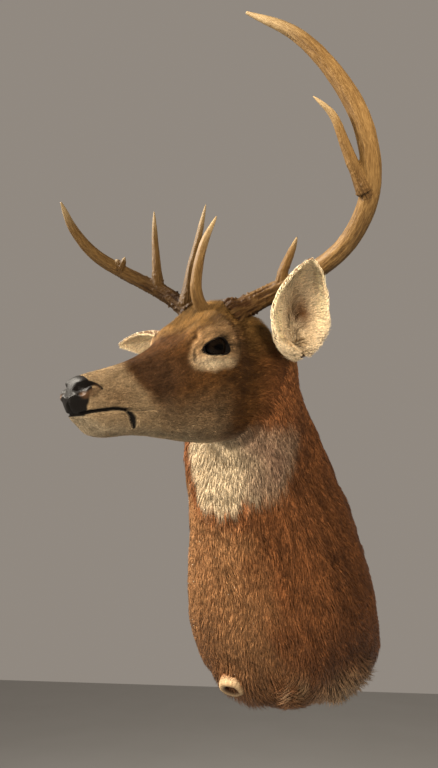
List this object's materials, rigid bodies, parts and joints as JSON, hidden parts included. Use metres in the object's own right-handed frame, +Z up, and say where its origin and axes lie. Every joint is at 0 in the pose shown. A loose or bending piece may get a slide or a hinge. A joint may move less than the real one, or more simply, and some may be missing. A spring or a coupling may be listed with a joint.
{
  "type": "deer shoulder mount",
  "caption": "Mounted head, neck and shoulders of a white-tailed buck, head turned to its right, with uneven antlers, glass eyes and a hidden backing board.",
  "frame": {"origin": "middle of the backing board's flat back, on the plane of the wall", "axes": "+Z up, +Y into the wall, -Y the way the trunk faces, +X towards the deer's left"},
  "size_m": [0.4324, 0.6409, 0.7967],
  "materials": {
    "face_hide": "short grey-brown hair, cream round eye, muzzle and chin",
    "neck_hide": "dense reddish-brown hair with a white throat patch",
    "trunk_hide": "dense reddish-brown hair, darker on the brisket",
    "cream_hide": "rolled edge of hide with pale hair",
    "ear_hide": "brown back, cream hair inside",
    "eye_glass": "clear polished glass over a dark brown iris",
    "antler": "bone, satin, brown and ridged at the base, tan to ivory towards the tips",
    "plywood": "bare plywood",
    "steel": "plain zinc-plated steel"
  },
  "bodies": {
    "root": {"antler_left_beam_1": "antler", "antler_left_beam_2": "antler", "antler_left_beam_3": "antler", "antler_left_brow_tine": "antler", "antler_left_second_tine": "antler", "antler_left_third_tine": "antler", "antler_right_beam_1": "antler", "antler_right_beam_2": "antler", "antler_right_beam_3": "antler", "antler_right_brow_tine": "antler", "antler_right_second_tine": "antler", "antler_right_third_tine": "antler", "board": "plywood", "ear_left": "ear_hide", "ear_right": "ear_hide", "eye_left": "eye_glass", "eye_right": "eye_glass", "foreleg_stump_left": "cream_hide", "foreleg_stump_right": "cream_hide", "hanger": "steel", "head": "face_hide", "hide_edge": "trunk_hide", "neck": "neck_hide", "trunk": "trunk_hide"}
  },
  "joints": []
}
